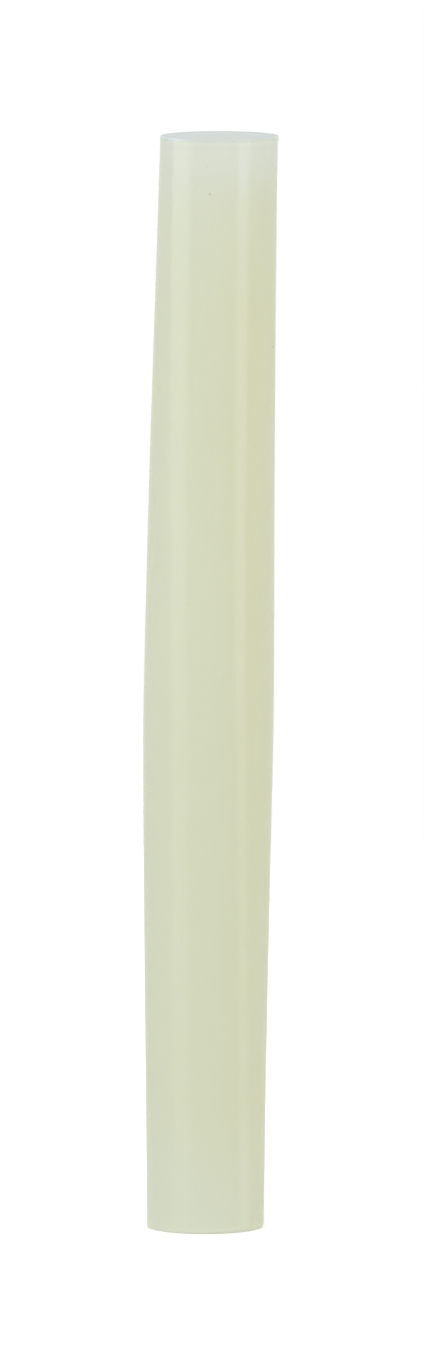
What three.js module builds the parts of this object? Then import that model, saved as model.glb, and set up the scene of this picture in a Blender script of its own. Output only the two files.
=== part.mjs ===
import * as THREE from 'three';

// A stick of hot-melt glue, standing on its lower end. Millimetres, +Z up.
// It is one solid rod: a shade thicker at its middle, with a slight bend towards +X.
// The origin is the centre of the lower end face.

// Sizes along the stick
const LENGTH = 100;
const BELLY_HEIGHT = 47.7;

// Sizes across the stick
const LOWER_DIAMETER = 10.7;
const BELLY_DIAMETER = 11.9;
const UPPER_DIAMETER = 10.7;
const UPPER_END_OFFSET = 1.24;

// The two rims
const LOWER_RIM_RADIUS = 0.45;
const UPPER_RIM_RADIUS = 0.15;

// How rounded the belly is: 0 for two straight tapers that meet, 1 for one soft swell
const BELLY_SOFTNESS = 0.4;

// How finely the solid is divided
const SECTORS = 64;
const SIDE_STEPS = 24;
const LOWER_RIM_STEPS = 4;
const UPPER_RIM_STEPS = 2;

// Radius at a height: it tapers from the belly towards each end
function radiusAt(height) {
  const isBelow = height < BELLY_HEIGHT;
  const endRadius = (isBelow ? LOWER_DIAMETER : UPPER_DIAMETER) / 2;
  const taperLength = isBelow ? BELLY_HEIGHT : LENGTH - BELLY_HEIGHT;
  const straight = Math.abs(height - BELLY_HEIGHT) / taperLength;
  const swelling = THREE.MathUtils.smoothstep(straight, 0, 1);
  const share = THREE.MathUtils.lerp(straight, swelling, BELLY_SOFTNESS);
  return THREE.MathUtils.lerp(BELLY_DIAMETER / 2, endRadius, share);
}

// Sideways travel of the centre line at a height: a parabola that starts upright
function offsetAt(height) {
  return UPPER_END_OFFSET * (height / LENGTH) ** 2;
}

// Points of a quarter round, from one angle to another about its centre
function quarterRound(centreRadius, centreHeight, rimRadius, startAngle, endAngle, steps) {
  const points = [];
  for (let step = 0; step <= steps; step += 1) {
    const angle = THREE.MathUtils.lerp(startAngle, endAngle, step / steps);
    points.push(new THREE.Vector2(
      centreRadius + rimRadius * Math.cos(angle),
      centreHeight + rimRadius * Math.sin(angle),
    ));
  }
  return points;
}

// Half of the stick's lengthwise section, from the axis below to the axis above
function makeProfile() {
  const sideBottom = LOWER_RIM_RADIUS;
  const sideTop = LENGTH - UPPER_RIM_RADIUS;
  const lowerRim = quarterRound(
    radiusAt(sideBottom) - LOWER_RIM_RADIUS, sideBottom, LOWER_RIM_RADIUS,
    -Math.PI / 2, 0, LOWER_RIM_STEPS,
  );
  const upperRim = quarterRound(
    radiusAt(sideTop) - UPPER_RIM_RADIUS, sideTop, UPPER_RIM_RADIUS,
    0, Math.PI / 2, UPPER_RIM_STEPS,
  );
  const side = [];
  for (let step = 1; step < SIDE_STEPS; step += 1) {
    const height = THREE.MathUtils.lerp(sideBottom, sideTop, step / SIDE_STEPS);
    side.push(new THREE.Vector2(radiusAt(height), height));
  }
  return [new THREE.Vector2(0, 0), ...lowerRim, ...side, ...upperRim, new THREE.Vector2(0, LENGTH)];
}

// Moves each level section sideways by the centre line's travel, so both ends stay level
function bend(geometry) {
  const position = geometry.attributes.position;
  for (let index = 0; index < position.count; index += 1) {
    position.setX(index, position.getX(index) + offsetAt(position.getZ(index)));
  }
  geometry.computeVertexNormals();
  return geometry;
}

// The glue stick: milky, faintly yellow-green hot-melt adhesive with a satin skin
function makeGlueStick() {
  const geometry = new THREE.LatheGeometry(makeProfile(), SECTORS);
  geometry.rotateX(Math.PI / 2);
  const adhesive = new THREE.MeshStandardMaterial({
    color: 0xd4d8be,
    roughness: 0.35,
    metalness: 0,
  });
  const mesh = new THREE.Mesh(bend(geometry), adhesive);
  mesh.name = 'glue_stick';
  return mesh;
}

const part = new THREE.Group();
part.add(makeGlueStick());

export default part;
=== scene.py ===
"""Looks of a stick of hot-melt glue that stands on its lower end.

Everything is in metres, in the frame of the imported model: +Z up along the stick, +X the way
that its upper end leans, and -Y towards the camera. An azimuth is an angle about the stick, 0
towards the camera and growing towards +X.
"""

import logging
import math
from dataclasses import dataclass, field
from enum import Enum, IntEnum

import bmesh
import bpy
from mathutils import Matrix, Vector, noise


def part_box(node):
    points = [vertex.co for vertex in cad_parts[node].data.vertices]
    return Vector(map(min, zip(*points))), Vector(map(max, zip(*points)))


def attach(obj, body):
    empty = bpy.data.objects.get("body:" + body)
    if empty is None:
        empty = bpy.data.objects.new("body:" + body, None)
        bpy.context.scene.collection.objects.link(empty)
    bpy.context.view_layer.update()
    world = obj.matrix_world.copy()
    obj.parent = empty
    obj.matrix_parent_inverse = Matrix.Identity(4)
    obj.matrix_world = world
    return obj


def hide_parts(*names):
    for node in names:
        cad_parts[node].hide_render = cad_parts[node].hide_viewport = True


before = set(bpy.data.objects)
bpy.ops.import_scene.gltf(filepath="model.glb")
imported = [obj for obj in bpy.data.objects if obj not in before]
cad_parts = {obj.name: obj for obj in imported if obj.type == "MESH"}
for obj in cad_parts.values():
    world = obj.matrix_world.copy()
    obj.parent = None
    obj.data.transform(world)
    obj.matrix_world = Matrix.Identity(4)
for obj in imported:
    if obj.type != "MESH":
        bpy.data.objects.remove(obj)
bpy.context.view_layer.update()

MM = 0.001
NODE = "glue_stick"
BODY = "root"

# Most of a noise lies in this range
NOISE_RANGE = (0.3, 0.7)

# Linear red, green, blue and alpha
Colour = tuple[float, float, float, float]

# Features of a noise for each metre along X, Y and Z
Scale = tuple[float, float, float]

log = logging.getLogger("glue_stick")


class Surface(IntEnum):
    """Material slots of the stick."""

    SKIN = 0
    CUT_FACE = 1


class MixSocket(IntEnum):
    """Places of a Mix node's colour sockets: three inputs and the output."""

    SHARE = 0
    FIRST = 6
    SECOND = 7
    RESULT = 2


class LampTone(Enum):
    """Colour of a lamp, as linear red, green and blue."""

    COOL = (0.95, 0.99, 1.0)
    SKY = (0.65, 0.70, 1.0)


def linear(red: int, green: int, blue: int) -> Colour:
    """Turns a colour as seen on a screen into the linear one that a shader takes.

    Args:
        red: Red from 0 to 255.
        green: Green from 0 to 255.
        blue: Blue from 0 to 255.

    Returns:
        Linear red, green, blue, and an alpha of 1.
    """

    def channel(value: int) -> float:
        """Undoes the screen's curve for one channel."""
        share = value / 255
        return share / 12.92 if share <= 0.04045 else ((share + 0.055) / 1.055) ** 2.4

    return channel(red), channel(green), channel(blue), 1.0


def grey(level: float) -> Colour:
    """Neutral colour of a linear level."""
    return level, level, level, 1.0


def smooth_step(low: float, high: float, value: float) -> float:
    """Rises smoothly from 0 at low to 1 at high, or falls where low is the larger.

    Args:
        low: Value that gives 0.
        high: Value that gives 1.
        value: Value to place between them.

    Returns:
        The eased share, from 0 to 1.
    """
    share = min(max((value - low) / (high - low), 0.0), 1.0)
    return share * share * (3 - 2 * share)


def add_object(name: str, data: bpy.types.ID) -> bpy.types.Object:
    """Adds an object to the scene.

    Args:
        name: Its name.
        data: Its mesh, lamp or camera.

    Returns:
        The new object.
    """
    made = bpy.data.objects.new(name, data)
    bpy.context.scene.collection.objects.link(made)
    return made


@dataclass(frozen=True)
class Ring:
    """One level section of the CAD solid's side."""

    height: float
    radius: float
    offset: float


@dataclass(frozen=True)
class StickOutline:
    """Radius and centre line of the stick by height, as its CAD solid has them."""

    length: float
    rings: tuple[Ring, ...]

    @classmethod
    def measured(cls, node: bpy.types.Object, lower_rim: float, upper_rim: float) -> "StickOutline":
        """Measures the level sections between the two rims of the CAD solid.

        Args:
            node: The CAD node's object.
            lower_rim: Height over which the lower rim is rounded.
            upper_rim: Height over which the upper rim is rounded.

        Returns:
            The outline.
        """
        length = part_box(node.name)[1].z
        slack = 0.01 * MM
        levels: dict[int, list[Vector]] = {}
        for vertex in node.data.vertices:
            levels.setdefault(round(vertex.co.z / slack), []).append(vertex.co)
        rings = []
        for level in sorted(levels):
            points = levels[level]
            height = points[0].z
            if lower_rim - slack <= height <= length - upper_rim + slack:
                left = min(point.x for point in points)
                right = max(point.x for point in points)
                rings.append(Ring(height, (right - left) / 2, (right + left) / 2))
        return cls(length, tuple(rings))

    def _at(self, height: float, values: list[float]) -> float:
        """Reads a smooth curve through the rings' values at a height.

        Args:
            height: Height on the stick.
            values: One value for each ring.

        Returns:
            The curve's value there.
        """
        rings = self.rings
        last = len(rings) - 2
        index = next((i for i in range(last) if height < rings[i + 1].height), last)
        start, stop = rings[index].height, rings[index + 1].height
        share = (height - start) / (stop - start)
        before, after = max(index - 1, 0), min(index + 2, last + 1)

        def slope(low: int, high: int) -> float:
            """Mean slope between two rings, for the stretch at hand."""
            rise = values[high] - values[low]
            return rise / (rings[high].height - rings[low].height) * (stop - start)

        leave, arrive = slope(before, index + 1), slope(index, after)
        square, cube = share * share, share**3
        return (
            (2 * cube - 3 * square + 1) * values[index]
            + (cube - 2 * square + share) * leave
            + (3 * square - 2 * cube) * values[index + 1]
            + (cube - square) * arrive
        )

    def radius_at(self, height: float) -> float:
        """Radius of the side at a height, carried on past the rims."""
        return self._at(height, [ring.radius for ring in self.rings])

    def offset_at(self, height: float) -> float:
        """Sideways travel of the centre line at a height."""
        return self._at(height, [ring.offset for ring in self.rings])


class NodeGraph:
    """Adds and links the shader nodes of one node tree."""

    def __init__(self, tree: bpy.types.NodeTree) -> None:
        """Starts from an empty tree.

        Args:
            tree: The tree of a material, a lamp or the world.
        """
        self.tree = tree
        tree.nodes.clear()

    def add(self, kind: str, settings: dict[str, object] | None = None,
            **inputs: object) -> bpy.types.Node:
        """Adds a node.

        Args:
            kind: Blender's name of the node's type.
            settings: Properties of the node itself.
            **inputs: Values or output sockets for its inputs, with _ for a space.

        Returns:
            The new node.
        """
        node = self.tree.nodes.new(kind)
        for name, value in (settings or {}).items():
            setattr(node, name, value)
        for name, value in inputs.items():
            self.feed(node, name.replace("_", " "), value)
        return node

    def feed(self, node: bpy.types.Node, name: str | int, value: object) -> None:
        """Links an output socket to an input, or sets the input's own value.

        Args:
            node: Node that has the input.
            name: The input's name or place.
            value: Output socket, or a plain value.
        """
        socket = node.inputs[name]
        if isinstance(value, bpy.types.NodeSocket):
            self.tree.links.new(value, socket)
        else:
            socket.default_value = value

    def math(self, operation: str, *values: object) -> bpy.types.NodeSocket:
        """Adds a Math node.

        Args:
            operation: Blender's name of the operation.
            *values: Its numbers or sockets, in order.

        Returns:
            Its result.
        """
        node = self.add("ShaderNodeMath", {"operation": operation})
        for index, value in enumerate(values):
            self.feed(node, index, value)
        return node.outputs["Value"]

    def span(self, value: object, low: float, high: float, start: float = 0.0,
             stop: float = 1.0) -> bpy.types.NodeSocket:
        """Maps a value smoothly from one range to another.

        Args:
            value: Number or socket to map.
            low: Value that gives start.
            high: Value that gives stop.
            start: Result at low.
            stop: Result at high.

        Returns:
            The mapped value.
        """
        node = self.add(
            "ShaderNodeMapRange",
            {"interpolation_type": "SMOOTHSTEP"},
            Value=value, From_Min=low, From_Max=high, To_Min=start, To_Max=stop,
        )
        return node.outputs["Result"]

    def blend(self, share: object, first: object, second: object) -> bpy.types.NodeSocket:
        """Mixes two colours.

        Args:
            share: How much of the second there is.
            first: Colour at 0.
            second: Colour at 1.

        Returns:
            The mixed colour.
        """
        node = self.add("ShaderNodeMix", {"data_type": "RGBA"})
        self.feed(node, MixSocket.SHARE, share)
        self.feed(node, MixSocket.FIRST, first)
        self.feed(node, MixSocket.SECOND, second)
        return node.outputs[MixSocket.RESULT]

    def grain(self, place: bpy.types.NodeSocket, scale: Scale,
              detail: float = 2.0) -> bpy.types.NodeSocket:
        """Adds noise.

        Args:
            place: Coordinates in metres.
            scale: Features for each metre along X, Y and Z.
            detail: Octaves of finer noise.

        Returns:
            The noise, about 0.5 in the middle.
        """
        spread = self.add("ShaderNodeMapping", Vector=place, Scale=scale).outputs["Vector"]
        texture = self.add("ShaderNodeTexNoise", Vector=spread, Scale=1.0, Detail=detail)
        return texture.outputs["Fac"]

    def bump(self, height: object, depth: float, normal: object = None) -> bpy.types.NodeSocket:
        """Adds a bump.

        Args:
            height: Socket of the relief, from 0 to 1.
            depth: Real height of the relief at 1.
            normal: Normal from an earlier bump, if there is one.

        Returns:
            The bumped normal.
        """
        node = self.add("ShaderNodeBump", Strength=1.0, Distance=depth, Height=height)
        if normal is not None:
            self.feed(node, "Normal", normal)
        return node.outputs["Normal"]


@dataclass(frozen=True)
class Reach:
    """A stretch over which something grows, from none of it at begin to the most at full."""

    begin: float
    full: float
    most: float = 1.0

    def amount(self, graph: NodeGraph, place: bpy.types.NodeSocket) -> bpy.types.NodeSocket:
        """How much of it there is at a place along the stretch."""
        return graph.span(place, self.begin, self.full, 0.0, self.most)


@dataclass(frozen=True)
class Speck:
    """A dark speck of dust held in the skin. Its azimuth is in degrees."""

    height: float
    azimuth: float
    radius: float
    strength: float


@dataclass(frozen=True)
class Adhesive:
    """The milky hot-melt adhesive itself, which every surface of the stick shares."""

    # Skin: from -X to +X, painted shade lower down, and the haze that the marks of the knife share,
    # which the skin takes as painted glow at its ends
    pale: Colour = linear(217, 221, 198)
    milk: Colour = linear(216, 219, 194)
    yellower: Colour = linear(215, 217, 187)
    low: Colour = linear(206, 213, 189)
    haze: Colour = linear(219, 223, 211)

    # Upper rim: painted shade, and the worn band painted a shade darker; and the dust in the skin
    rim_shade: Colour = linear(207, 213, 207)
    deep_rim_shade: Colour = linear(181, 189, 180)
    worn_and_shaded: Colour = linear(192, 203, 203)
    dust: Colour = linear(95, 95, 70)

    # Cut faces, in the middle and at the edge, where the edge's darker tone is painted shade
    frost: Colour = linear(204, 211, 209)
    frost_edge_shade: Colour = linear(191, 200, 206)

    # How light enters it and scatters in it
    scatter_depth: float = 1.6 * MM
    scatter_tint: tuple[float, float, float] = (1.0, 0.97, 0.75)
    refraction: float = 1.48

    def shader(self, graph: NodeGraph) -> bpy.types.Node:
        """Adds the translucent shader with its fixed values.

        Args:
            graph: Graph of the material.

        Returns:
            The Principled node.
        """
        shader = graph.add("ShaderNodeBsdfPrincipled", {"subsurface_method": "RANDOM_WALK"})
        shader.inputs["Subsurface Weight"].default_value = 1.0
        shader.inputs["Subsurface Scale"].default_value = self.scatter_depth
        shader.inputs["Subsurface Radius"].default_value = self.scatter_tint
        shader.inputs["IOR"].default_value = self.refraction
        graph.add("ShaderNodeOutputMaterial", Surface=shader.outputs["BSDF"])
        return shader


@dataclass(frozen=True)
class SkinFinish:
    """The extruded skin: satin, with fine lines drawn along it by the die."""

    outline: StickOutline
    adhesive: Adhesive = Adhesive()
    roughness: tuple[float, float] = (0.10, 0.13)

    # Body: milkier and then yellower towards +X, with painted shade that makes it a little darker
    # and greener lower down, and faint clouds
    milky_across: Reach = Reach(-4.0 * MM, 1.5 * MM)
    yellower_across: Reach = Reach(0.5 * MM, 4.2 * MM)
    shade_low_down: Reach = Reach(65.0 * MM, 25.0 * MM, 0.12)
    cloud_scale: Scale = (160.0, 160.0, 45.0)
    cloud_share: float = 0.15

    # Painted glow in the haze's tone: bounce light from the floor at the foot, light let in through
    # the cut end at the top and further below it, and how it clears towards +X
    haze_at_foot: Reach = Reach(13.0 * MM, 0.5 * MM, 0.43)
    glow_clears_at_foot: Reach = Reach(3.0 * MM, 5.5 * MM, 0.7)
    haze_at_top: Reach = Reach(6.5 * MM, 0.5 * MM, 0.65)
    haze_below_top: Reach = Reach(18.0 * MM, 0.5 * MM, 0.5)
    glow_clears_below_top: Reach = Reach(3.7 * MM, 5.9 * MM, 0.4)

    # Upper rim: painted shade, darkest right at the rim, and a worn band, painted a shade darker,
    # that gets higher towards -X
    rim_shade_reach: Reach = Reach(1.4 * MM, 0.4 * MM, 0.5)
    deep_rim_shade_reach: Reach = Reach(0.42 * MM, 0.0, 0.85)
    worn_height: Reach = Reach(-0.5 * MM, -4.1 * MM, 0.3 * MM)
    worn_edge: float = 0.05 * MM

    # Relief: lines from the die, and pores
    line_scale: Scale = (2500.0, 2500.0, 25.0)
    line_detail: float = 3.0
    line_depth: float = 0.0005 * MM
    pore_scale: Scale = (1500.0, 1500.0, 900.0)
    pore_depth: float = 0.00025 * MM

    # Specks of dust: each is darkest within a share of its radius
    speck_core: float = 0.3
    specks: tuple[Speck, ...] = (
        Speck(97.6 * MM, -11.2, 0.06 * MM, 0.3),
        Speck(95.1 * MM, -8.0, 0.08 * MM, 0.7),
        Speck(92.7 * MM, 10.3, 0.06 * MM, 0.25),
        Speck(80.9 * MM, 73.5, 0.13 * MM, 1.0),
        Speck(72.1 * MM, 42.6, 0.06 * MM, 0.25),
        Speck(51.0 * MM, 12.1, 0.06 * MM, 0.25),
        Speck(27.2 * MM, -23.6, 0.06 * MM, 0.3),
    )

    def material(self) -> bpy.types.Material:
        """Builds the material.

        Returns:
            The new material.
        """
        made = bpy.data.materials.new("extruded skin")
        made.use_nodes = True
        graph = NodeGraph(made.node_tree)
        shader = self.adhesive.shader(graph)
        place = graph.add("ShaderNodeTexCoord").outputs["Object"]
        graph.feed(shader, "Base Color", self._colour(graph, place))
        lines = graph.grain(place, self.line_scale, self.line_detail)
        graph.feed(shader, "Roughness", graph.span(lines, *NOISE_RANGE, *self.roughness))
        pores = graph.grain(place, self.pore_scale)
        normal = graph.bump(lines, self.line_depth)
        graph.feed(shader, "Normal", graph.bump(pores, self.pore_depth, normal))
        return made

    def _colour(self, graph: NodeGraph, place: bpy.types.NodeSocket) -> bpy.types.NodeSocket:
        """Colour of the skin: yellower towards +X, painted shade lower down, painted glow at both
        ends, and painted shade and a darkened worn band at the upper rim.

        Args:
            graph: Graph of the material.
            place: Object coordinates.

        Returns:
            The colour.
        """
        adhesive = self.adhesive
        axes = graph.add("ShaderNodeSeparateXYZ", Vector=place).outputs
        across, up = axes["X"], axes["Z"]
        down = graph.math("SUBTRACT", self.outline.length, up)
        grain = graph.grain(place, self.cloud_scale)
        clouds = graph.span(grain, *NOISE_RANGE, -self.cloud_share, self.cloud_share)
        milky = graph.math("ADD", self.milky_across.amount(graph, across), clouds)
        colour = graph.blend(milky, adhesive.pale, adhesive.milk)
        colour = graph.blend(self.yellower_across.amount(graph, across), colour, adhesive.yellower)
        # Painted shade: a little darker and greener lower down
        colour = graph.blend(self.shade_low_down.amount(graph, up), colour, adhesive.low)
        # Painted glow at both ends: bounce light from the floor at the foot, light let in through
        # the cut end at the top
        colour = graph.blend(self._haze(graph, across, up, down), colour, adhesive.haze)
        # Painted shade at the upper rim, darkest right at its edge
        colour = graph.blend(self.rim_shade_reach.amount(graph, down), colour, adhesive.rim_shade)
        colour = graph.blend(self.deep_rim_shade_reach.amount(graph, down), colour, adhesive.deep_rim_shade)
        # Worn band with the cut face's bluer tone, painted a shade darker
        below_band = graph.math("SUBTRACT", down, self.worn_height.amount(graph, across))
        wear_and_shade = graph.span(below_band, 0.0, -self.worn_edge)
        colour = graph.blend(wear_and_shade, colour, adhesive.worn_and_shaded)
        return self._specked(graph, place, colour)

    def _haze(self, graph: NodeGraph, across: bpy.types.NodeSocket, up: bpy.types.NodeSocket,
              down: bpy.types.NodeSocket) -> bpy.types.NodeSocket:
        """Share of painted glow, which lies near both ends and clears towards +X.

        Args:
            graph: Graph of the material.
            across: Place along X.
            up: Height above the lower end.
            down: Depth below the upper end.

        Returns:
            The share.
        """
        at_top = self.haze_at_top.amount(graph, down)
        glowing_above = graph.math("SUBTRACT", 1.0, self.glow_clears_below_top.amount(graph, across))
        below_top = self.haze_below_top.amount(graph, down)
        upper = graph.math("MULTIPLY_ADD", glowing_above, below_top, at_top)
        glowing_below = graph.math("SUBTRACT", 1.0, self.glow_clears_at_foot.amount(graph, across))
        lower = graph.math("MULTIPLY", glowing_below, self.haze_at_foot.amount(graph, up))
        return graph.math("MAXIMUM", upper, lower)

    def _specked(self, graph: NodeGraph, place: bpy.types.NodeSocket,
                 colour: bpy.types.NodeSocket) -> bpy.types.NodeSocket:
        """Adds the specks of dust to the colour.

        Args:
            graph: Graph of the material.
            place: Object coordinates.
            colour: Colour of the clean skin.

        Returns:
            The specked colour.
        """
        for speck in self.specks:
            far = graph.add("ShaderNodeVectorMath", {"operation": "DISTANCE"})
            graph.feed(far, 0, place)
            graph.feed(far, 1, self._speck_place(speck))
            spot = Reach(speck.radius, speck.radius * self.speck_core, speck.strength)
            dusty = spot.amount(graph, far.outputs["Value"])
            colour = graph.blend(dusty, colour, self.adhesive.dust)
        return colour

    def _speck_place(self, speck: Speck) -> Vector:
        """Point of the skin at which a speck sits.

        Args:
            speck: The speck.

        Returns:
            The point.
        """
        angle = math.radians(speck.azimuth)
        radius = self.outline.radius_at(speck.height)
        offset = self.outline.offset_at(speck.height)
        return Vector((offset + radius * math.sin(angle), -radius * math.cos(angle), speck.height))


@dataclass(frozen=True)
class CutFinish:
    """The cut end faces: frosted, a little bluer, with faint marks of the knife, and painted shade
    round their outer ring.
    """

    outline: StickOutline
    adhesive: Adhesive = Adhesive()
    roughness: tuple[float, float] = (0.5, 0.62)
    gloss: float = 0.25
    translucency: float = 0.3

    # Marks of the knife: how they lie, and how hazy and how deep they are
    mark_turn: float = math.radians(35.0)
    mark_scale: Scale = (150.0, 3000.0, 150.0)
    mark_detail: float = 3.0
    mark_haze: Reach = Reach(0.35, 0.65, 0.35)
    mark_depth: float = 0.02 * MM

    # Outer ring of the face, which is painted darker as shade
    edge_shade_width: float = 1.8 * MM
    edge_shade_share: float = 0.5

    def material(self) -> bpy.types.Material:
        """Builds the material.

        Returns:
            The new material.
        """
        made = bpy.data.materials.new("knife-cut face")
        made.use_nodes = True
        graph = NodeGraph(made.node_tree)
        shader = self.adhesive.shader(graph)
        shader.inputs["Specular IOR Level"].default_value = self.gloss
        shader.inputs["Subsurface Weight"].default_value = self.translucency
        place = graph.add("ShaderNodeTexCoord").outputs["Object"]
        turned = graph.add("ShaderNodeMapping", Vector=place, Rotation=(0.0, 0.0, self.mark_turn))
        marks = graph.grain(turned.outputs["Vector"], self.mark_scale, self.mark_detail)
        hazy = self.mark_haze.amount(graph, marks)
        colour = graph.blend(hazy, self.adhesive.frost, self.adhesive.haze)
        # Painted shade: the outer ring of the face is darker
        edge = self._edge_shade().amount(graph, self._away(graph, place))
        graph.feed(shader, "Base Color", graph.blend(edge, colour, self.adhesive.frost_edge_shade))
        graph.feed(shader, "Roughness", graph.span(marks, *NOISE_RANGE, *self.roughness))
        graph.feed(shader, "Normal", graph.bump(marks, self.mark_depth))
        return made

    def _edge_shade(self) -> Reach:
        """The outer ring of the face, painted darker as shade."""
        radius = self.outline.radius_at(self.outline.length)
        return Reach(radius - self.edge_shade_width, radius, self.edge_shade_share)

    def _away(self, graph: NodeGraph, place: bpy.types.NodeSocket) -> bpy.types.NodeSocket:
        """Distance from the middle of the end face.

        Args:
            graph: Graph of the material.
            place: Object coordinates.

        Returns:
            The distance, true on both faces.
        """
        axes = graph.add("ShaderNodeSeparateXYZ", Vector=place).outputs
        lean = self.outline.offset_at(self.outline.length) / self.outline.length
        across = graph.math("MULTIPLY_ADD", axes["Z"], -lean, axes["X"])
        flat = graph.add("ShaderNodeCombineXYZ", X=across, Y=axes["Y"])
        away = graph.add("ShaderNodeVectorMath", {"operation": "LENGTH"})
        graph.feed(away, 0, flat.outputs["Vector"])
        return away.outputs["Value"]


@dataclass
class GlueStick:
    """The stick: one extruded rod of adhesive with two cut ends."""

    outline: StickOutline

    # Rims: how far the CAD solid's are rounded, and the shares of that which are kept
    lower_rim: float = 0.45 * MM
    upper_rim: float = 0.15 * MM
    lower_rim_kept: float = 0.45
    upper_rim_kept: float = 0.4

    # Reach of a rim in its own roundings, a little over one so that its edges count
    rim_reach: float = 1.01

    # How finely the surface is divided
    sectors: int = 144
    side_cuts: int = 380
    end_rings: int = 32
    rim_steps: int = 5

    # Small lip at the upper rim, on the side towards +X
    lip: float = 0.08 * MM
    lip_height: float = 0.8 * MM
    lip_azimuth: float = math.pi / 2
    lip_reach: float = math.radians(50.0)

    # Relief of the side: its depth, and its pace around the stick and for each metre along it
    die_line: float = 0.002 * MM
    die_line_pace: tuple[float, float] = (6.0, 4.0)
    wave: float = 0.015 * MM
    wave_pace: tuple[float, float] = (0.9, 55.0)
    seed_offset: Vector = field(default_factory=lambda: Vector((3.1, 7.7, 1.3)))

    # Upper end face: its dish, and the marks of the knife with their pace for each metre
    dish: float = 0.05 * MM
    mark: float = 0.012 * MM
    mark_turn: float = 0.9
    mark_pace: tuple[float, float] = (180.0, 1300.0)
    mark_seed: float = 5.0

    # Share of the upper rim's height that still counts as end face
    face_share: float = 0.05

    def build(self) -> bpy.types.Object:
        """Builds the stick's mesh and its object.

        Returns:
            The object, at the origin, unturned and unscaled.
        """
        mesh = bpy.data.meshes.new("glue_stick_surface")
        shape = bmesh.new()
        self._blank(shape)
        self._round_rims(shape)
        self._ring_side(shape)
        self._ring_ends(shape)
        for vertex in shape.verts:
            vertex.co = self._placed(vertex.co)
        bmesh.ops.recalc_face_normals(shape, faces=shape.faces)
        for face in shape.faces:
            face.smooth = True
        shape.to_mesh(mesh)
        shape.free()
        return add_object("glue_stick_surface", mesh)

    def dress(self, stick: bpy.types.Object) -> None:
        """Gives the stick its two finishes and its place in the frame.

        Args:
            stick: The stick's object.
        """
        finishes = {
            Surface.SKIN: SkinFinish(self.outline),
            Surface.CUT_FACE: CutFinish(self.outline),
        }
        for surface in Surface:
            stick.data.materials.append(finishes[surface].material())
        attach(stick, BODY)
        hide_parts(NODE)

    def _blank_radius(self, height: float) -> float:
        """Radius of the straight blank, which tapers evenly from end to end.

        Args:
            height: Height on the blank.

        Returns:
            The radius there.
        """
        lower = self.outline.radius_at(0.0)
        upper = self.outline.radius_at(self.outline.length)
        return lower + (upper - lower) * height / self.outline.length

    def _blank(self, shape: bmesh.types.BMesh) -> None:
        """Makes the straight rod blank with flat ends.

        Args:
            shape: Mesh to make it in.
        """
        length = self.outline.length
        bmesh.ops.create_cone(
            shape,
            cap_ends=True,
            segments=self.sectors,
            radius1=self._blank_radius(0.0),
            radius2=self._blank_radius(length),
            depth=length,
            matrix=Matrix.Translation((0, 0, length / 2)),
        )

    def _round_rims(self, shape: bmesh.types.BMesh) -> None:
        """Rounds the edge of each end.

        Args:
            shape: The rod blank.
        """
        middle = self.outline.length / 2
        flat = [e for e in shape.edges if abs(e.verts[0].co.z - e.verts[1].co.z) < middle]
        lower = [edge for edge in flat if edge.verts[0].co.z < middle]
        upper = [edge for edge in flat if edge.verts[0].co.z > middle]
        for edges, rim in ((lower, self.lower_rim), (upper, self.upper_rim)):
            bmesh.ops.bevel(
                shape, geom=edges, offset=rim, offset_type="OFFSET", affect="EDGES",
                segments=self.rim_steps, profile=0.5, material=-1,
            )

    def _ring_side(self, shape: bmesh.types.BMesh) -> None:
        """Divides the long side into level rings.

        Args:
            shape: The rod blank with its rims.
        """
        middle = self.outline.length / 2
        long_edges = [e for e in shape.edges if abs(e.verts[0].co.z - e.verts[1].co.z) > middle]
        bmesh.ops.subdivide_edges(shape, edges=long_edges, cuts=self.side_cuts, use_grid_fill=True)

    def _ring_ends(self, shape: bmesh.types.BMesh) -> None:
        """Divides each end face into rings and closes its middle.

        Args:
            shape: The rod blank with its rims.
        """
        caps = [face for face in shape.faces if len(face.verts) == self.sectors]
        for cap in caps:
            cap.material_index = Surface.CUT_FACE
            reach = cap.verts[0].co.xy.length
            for _ in range(self.end_rings):
                bmesh.ops.inset_region(shape, faces=[cap], thickness=reach / (self.end_rings + 1))
        middles = [face for face in shape.faces if len(face.verts) == self.sectors]
        bmesh.ops.poke(shape, faces=middles)

    def _placed(self, point: Vector) -> Vector:
        """Moves a point of the straight blank onto the stick.

        Args:
            point: The point on the blank.

        Returns:
            Its place on the finished stick.
        """
        azimuth = math.atan2(point.x, -point.y)
        away, height = self._tightened(point.xy.length, point.z, azimuth)
        fit = self.outline.radius_at(height) / self._blank_radius(height)
        share = away / self._blank_radius(height)

        # The skin's relief fades out towards the middle of an end face
        away = away * fit + share**2 * self._skin_relief(azimuth, height)
        height += self._end_relief(away, azimuth, height)
        return Vector((
            self.outline.offset_at(height) + away * math.sin(azimuth),
            -away * math.cos(azimuth),
            height,
        ))

    def _tightened(self, away: float, height: float, azimuth: float) -> tuple[float, float]:
        """Draws the rims tighter: the upper one all round, the lower one towards -X.

        Args:
            away: Distance from the axis.
            height: Height on the blank.
            azimuth: Angle about the axis.

        Returns:
            The new distance and height.
        """
        is_upper = height > self.outline.length / 2
        end = self.outline.length if is_upper else 0.0
        rim = (self.upper_rim if is_upper else self.lower_rim) * self.rim_reach
        edge = self._blank_radius(end)
        if abs(height - end) > rim or away < edge - rim:
            return away, height
        side = (1 + math.sin(azimuth)) / 2
        lower_kept = self.lower_rim_kept + (1 - self.lower_rim_kept) * side
        kept = self.upper_rim_kept if is_upper else lower_kept
        return edge + (away - edge) * kept, end + (height - end) * kept

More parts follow.
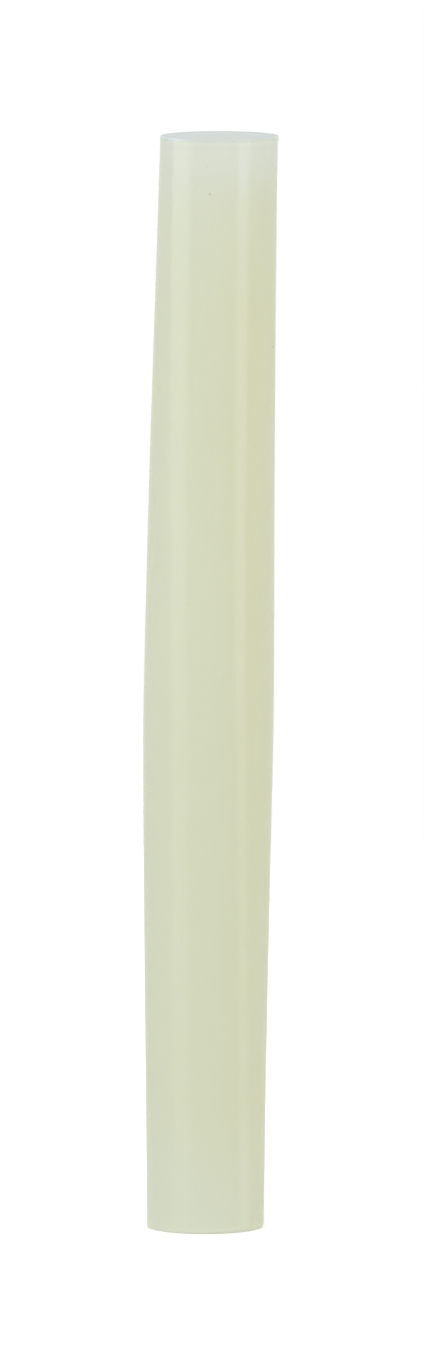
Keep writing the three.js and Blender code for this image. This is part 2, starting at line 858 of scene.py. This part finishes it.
    def _skin_relief(self, azimuth: float, height: float) -> float:
        """Relief of the skin: lines from the die, long waves, and the lip of the upper rim.

        Args:
            azimuth: Angle about the axis.
            height: Height on the stick.

        Returns:
            How far the skin stands out from the plain outline.
        """
        lines = self._ripple(azimuth, height, self.die_line_pace, self.seed_offset)
        waves = self._ripple(azimuth, height, self.wave_pace, -self.seed_offset)
        below = smooth_step(self.lip_height, 0.0, self.outline.length - height)
        beside = smooth_step(self.lip_reach, 0.0, abs(azimuth - self.lip_azimuth))
        return self.die_line * lines + self.wave * waves + self.lip * below * beside

    def _ripple(self, azimuth: float, height: float, pace: tuple[float, float],
                start: Vector) -> float:
        """Noise that runs round the stick without a seam.

        Args:
            azimuth: Angle about the axis.
            height: Height on the stick.
            pace: How fast it changes around the stick, and for each metre along it.
            start: Where in the noise it starts.

        Returns:
            The noise, from -1 to 1.
        """
        around, along = pace
        circle = Vector((math.sin(azimuth), math.cos(azimuth), 0.0))
        return noise.noise(circle * around + start + Vector((0, 0, height * along)))

    def _end_relief(self, away: float, azimuth: float, height: float) -> float:
        """Relief of the upper end face: slightly dished, with shallow marks of the knife.

        Args:
            away: Distance from the axis.
            azimuth: Angle about the axis.
            height: Height on the stick.

        Returns:
            How far the face stands up from level.
        """
        if height < self.outline.length - self.upper_rim * self.face_share:
            return 0.0
        edge = self.outline.radius_at(self.outline.length)
        inside = 1 - min(away / edge, 1.0) ** 2
        turned = azimuth - self.mark_turn
        place = Vector((away * math.cos(turned), away * math.sin(turned)))
        slow, fast = self.mark_pace
        marks = noise.noise(Vector((place.x * slow, place.y * fast, self.mark_seed)))
        return inside * (-self.dish + self.mark * marks)


@dataclass(frozen=True)
class LampEnd:
    """One end of a stretch of a strip lamp. Its azimuth is in degrees."""

    azimuth: float
    height: float
    width: float
    radiance: float


@dataclass(frozen=True)
class StripLamp:
    """A tall soft box beside the stick, in straight stretches that lean as their ends say.

    Each stretch is an upright panel, of which only a leaning strip glows. The strip's width and
    brightness change along it, and its inner side, the one nearer the camera, fades softly. Only
    gloss shows it, as a streak on the skin. It adds no other light.
    """

    name: str
    tone: LampTone
    ends: tuple[LampEnd, ...]
    distance: float = 150 * MM
    soft_share: float = 0.25

    def build(self) -> None:
        """Makes a panel for each stretch."""
        for number, (lower, upper) in enumerate(zip(self.ends, self.ends[1:]), start=1):
            self._panel(f"{self.name} {number}", lower, upper)

    def _panel(self, name: str, lower: LampEnd, upper: LampEnd) -> None:
        """Makes the panel of one stretch, facing the stick.

        Args:
            name: The lamp's name.
            lower: Its lower end.
            upper: Its upper end.
        """
        azimuth = math.radians((lower.azimuth + upper.azimuth) / 2)
        shift = self.distance * math.tan(math.radians(upper.azimuth) - azimuth)
        lamp = bpy.data.lights.new(name, "AREA")
        lamp.shape = "RECTANGLE"
        lamp.size = 2 * abs(shift) + max(lower.width, upper.width)
        lamp.size_y = upper.height - lower.height

        # With power in step with area, a glow is equally bright on panels of any size
        lamp.energy = math.pi * lamp.size * lamp.size_y
        lamp.color = self.tone.value
        self._shape_glow(lamp, lower, upper, shift)
        made = add_object(name, lamp)
        outward = Vector((math.sin(azimuth), -math.cos(azimuth), 0.0))
        made.location = outward * self.distance
        made.location.z = (lower.height + upper.height) / 2
        up = Vector((0.0, 0.0, 1.0))
        turn = Matrix((up.cross(outward), up, outward)).transposed()
        made.rotation_mode = "QUATERNION"
        made.rotation_quaternion = turn.to_quaternion()
        made.visible_camera = False
        made.visible_diffuse = False

    def _shape_glow(self, lamp: bpy.types.AreaLight, lower: LampEnd, upper: LampEnd,
                    shift: float) -> None:
        """Lets only the leaning strip of the panel glow, with its soft inner side.

        In the graph, along goes from 0 at the lower end to 1 at the upper one, and share from 0 at
        the strip's inner side to 1 at its outer one.

        Args:
            lamp: The panel's lamp.
            lower: Lower end of the strip.
            upper: Upper end of the strip.
            shift: How far the strip's upper end is from the middle of the panel.
        """
        lamp.use_nodes = True
        graph = NodeGraph(lamp.node_tree)
        spot = graph.add("ShaderNodeNewGeometry").outputs["Parametric"]
        sides = graph.add("ShaderNodeSeparateXYZ", Vector=spot).outputs
        along = sides["Y"]
        aside = graph.math("MULTIPLY", graph.math("SUBTRACT", sides["X"], 0.5), lamp.size)
        middle = graph.math("MULTIPLY_ADD", along, 2 * shift, -shift)
        width = graph.math("MULTIPLY_ADD", along, upper.width - lower.width, lower.width)
        outward = graph.math("MULTIPLY", graph.math("SUBTRACT", aside, middle), self._side())
        share = graph.math("ADD", graph.math("DIVIDE", outward, width), 0.5)
        gain = upper.radiance - lower.radiance
        radiance = graph.math("MULTIPLY_ADD", along, gain, lower.radiance)
        inside = graph.math("LESS_THAN", share, 1.0)
        soft = graph.math("MULTIPLY", graph.span(share, 0.0, self.soft_share), inside)
        glow = graph.add("ShaderNodeEmission", Strength=graph.math("MULTIPLY", radiance, soft))
        graph.add("ShaderNodeOutputLight", Surface=glow.outputs["Emission"])

    def _side(self) -> float:
        """Sign of the azimuths on this lamp's side of the stick."""
        return math.copysign(1.0, self.ends[0].azimuth)


@dataclass(frozen=True)
class KeyLamp:
    """The large soft box above the camera.

    Its level is about the brightness that it gives a white surface at the stick.
    """

    azimuth: float = 0.0
    elevation: float = math.radians(42.0)
    distance: float = 1.3
    width: float = 0.9
    level: float = 0.20

    def build(self) -> None:
        """Makes the lamp, facing the stick. Gloss doesn't show it."""
        lamp = bpy.data.lights.new("key", "AREA")
        lamp.shape = "SQUARE"
        lamp.size = self.width
        lamp.energy = self.level * (math.pi * self.distance) ** 2
        made = add_object("key", lamp)
        level_reach = self.distance * math.cos(self.elevation)
        made.location = (
            level_reach * math.sin(self.azimuth),
            -level_reach * math.cos(self.azimuth),
            self.distance * math.sin(self.elevation),
        )
        made.rotation_mode = "QUATERNION"
        made.rotation_quaternion = (-made.location).to_track_quat("-Z", "Y")
        made.visible_camera = False
        made.visible_glossy = False


@dataclass
class Studio:
    """A plain white studio: floor, even light, a key lamp, two strip lamps and the camera."""

    # Floor: its level for plain light, the one that makes it white where seen, and its glow
    floor_radius: float = 0.3
    floor_sectors: int = 64
    floor_grey: float = 0.5
    floor_seen: float = 1.25
    floor_glow: float = 0.4

    # Surroundings: their level for plain light, and what a gloss sees below the horizon
    ambient: float = 0.865
    mirrored_table: Colour = (0.80, 0.82, 0.73, 1.0)

    # Camera: its place, the point that it looks at, and the height of its frame there
    camera_distance: float = 1.68
    camera_height: float = 0.2323
    aim: Vector = field(default_factory=lambda: Vector((0.586 * MM, 0.0, 49.98 * MM)))
    framed_height: float = 124.49 * MM

    key: KeyLamp = KeyLamp()
    strips: tuple[StripLamp, ...] = (
        StripLamp("left strip", LampTone.COOL, (
            LampEnd(-44.0, -40 * MM, 88 * MM, 0.36),
            LampEnd(-48.5, 31 * MM, 90 * MM, 0.6),
            LampEnd(-85.5, 112 * MM, 162 * MM, 1.45),
        )),
        StripLamp("right strip", LampTone.SKY, (
            LampEnd(90.0, -40 * MM, 70 * MM, 0.75),
            LampEnd(55.5, 31 * MM, 60 * MM, 1.06),
            LampEnd(44.5, 112 * MM, 78 * MM, 1.58),
        )),
    )

    def build(self) -> None:
        """Builds the whole studio."""
        self._world()
        self._floor()
        self.key.build()
        for strip in self.strips:
            strip.build()
        self._camera()

    def _seen_share(self, graph: NodeGraph) -> bpy.types.NodeSocket:
        """Share that is 1 for what the camera, a gloss or a glass shows, and 0 for plain light.

        Args:
            graph: Graph of the world or of the floor.

        Returns:
            The share.
        """
        path = graph.add("ShaderNodeLightPath").outputs
        mirrored = graph.math("MAXIMUM", path["Is Glossy Ray"], path["Is Transmission Ray"])
        return graph.math("MAXIMUM", path["Is Camera Ray"], mirrored)

    def _surroundings(self, graph: NodeGraph) -> bpy.types.NodeSocket:
        """Colour of the surroundings: white, but the tone of a table where a gloss looks down.

        Args:
            graph: Graph of the world.

        Returns:
            The colour.
        """
        way = graph.add("ShaderNodeTexCoord").outputs["Generated"]
        upward = graph.add("ShaderNodeSeparateXYZ", Vector=way).outputs["Z"]
        downward = graph.math("LESS_THAN", upward, 0.0)
        mirrored = graph.add("ShaderNodeLightPath").outputs["Is Glossy Ray"]
        share = graph.math("MULTIPLY", downward, mirrored)
        return graph.blend(share, grey(1.0), self.mirrored_table)

    def _world(self) -> None:
        """Makes the surroundings: even light for the stick, and a full level where seen."""
        world = bpy.data.worlds.new("white tent")
        world.use_nodes = True
        bpy.context.scene.world = world
        graph = NodeGraph(world.node_tree)
        seen = self._seen_share(graph)
        strength = graph.math("ADD", self.ambient, graph.math("MULTIPLY", seen, 1 - self.ambient))
        colour = self._surroundings(graph)
        back = graph.add("ShaderNodeBackground", Color=colour, Strength=strength)
        graph.add("ShaderNodeOutputWorld", Surface=back.outputs["Background"])

    def _floor(self) -> None:
        """Makes the plain white floor, which keeps the shadow.

        For plain light it is grey and glows a little, in place of the light that a white table
        bounces up. Gloss doesn't show it.
        """
        shape = bmesh.new()
        bmesh.ops.create_circle(
            shape, cap_ends=True, radius=self.floor_radius, segments=self.floor_sectors
        )
        mesh = bpy.data.meshes.new("floor")
        shape.to_mesh(mesh)
        shape.free()
        paper = bpy.data.materials.new("white paper")
        paper.use_nodes = True
        graph = NodeGraph(paper.node_tree)
        seen = self._seen_share(graph)
        colour = graph.blend(seen, grey(self.floor_grey), grey(self.floor_seen))
        paint = graph.add("ShaderNodeBsdfDiffuse", Color=colour)
        unseen = graph.math("SUBTRACT", 1.0, seen)
        strength = graph.math("MULTIPLY", unseen, self.floor_glow)
        glow = graph.add("ShaderNodeEmission", Strength=strength)
        both = graph.add("ShaderNodeAddShader")
        graph.feed(both, 0, paint.outputs["BSDF"])
        graph.feed(both, 1, glow.outputs["Emission"])
        graph.add("ShaderNodeOutputMaterial", Surface=both.outputs["Shader"])
        mesh.materials.append(paper)
        floor = add_object("floor", mesh)
        floor.visible_glossy = False

    def _camera(self) -> None:
        """Makes the camera at the photograph's angle."""
        camera = bpy.data.cameras.new("camera")
        place = Vector((self.aim.x, -self.camera_distance, self.camera_height))
        toward = self.aim - place
        camera.lens = camera.sensor_width * toward.length / self.framed_height
        made = add_object("camera", camera)
        made.location = place
        made.rotation_mode = "QUATERNION"
        made.rotation_quaternion = toward.to_track_quat("-Z", "Y")
        bpy.context.scene.camera = made


def main() -> None:
    """Builds the studio and the stick, and reports each piece."""
    logging.basicConfig(level=logging.INFO, format="%(name)s: %(message)s")
    scene = bpy.context.scene
    scene.view_settings.view_transform = "Standard"
    Studio().build()
    log.info("studio ready")
    outline = StickOutline.measured(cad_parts[NODE], GlueStick.lower_rim, GlueStick.upper_rim)
    maker = GlueStick(outline)
    stick = maker.build()
    maker.dress(stick)
    log.info("%s has %d faces", stick.name, len(stick.data.polygons))


if __name__ == "__main__":
    main()
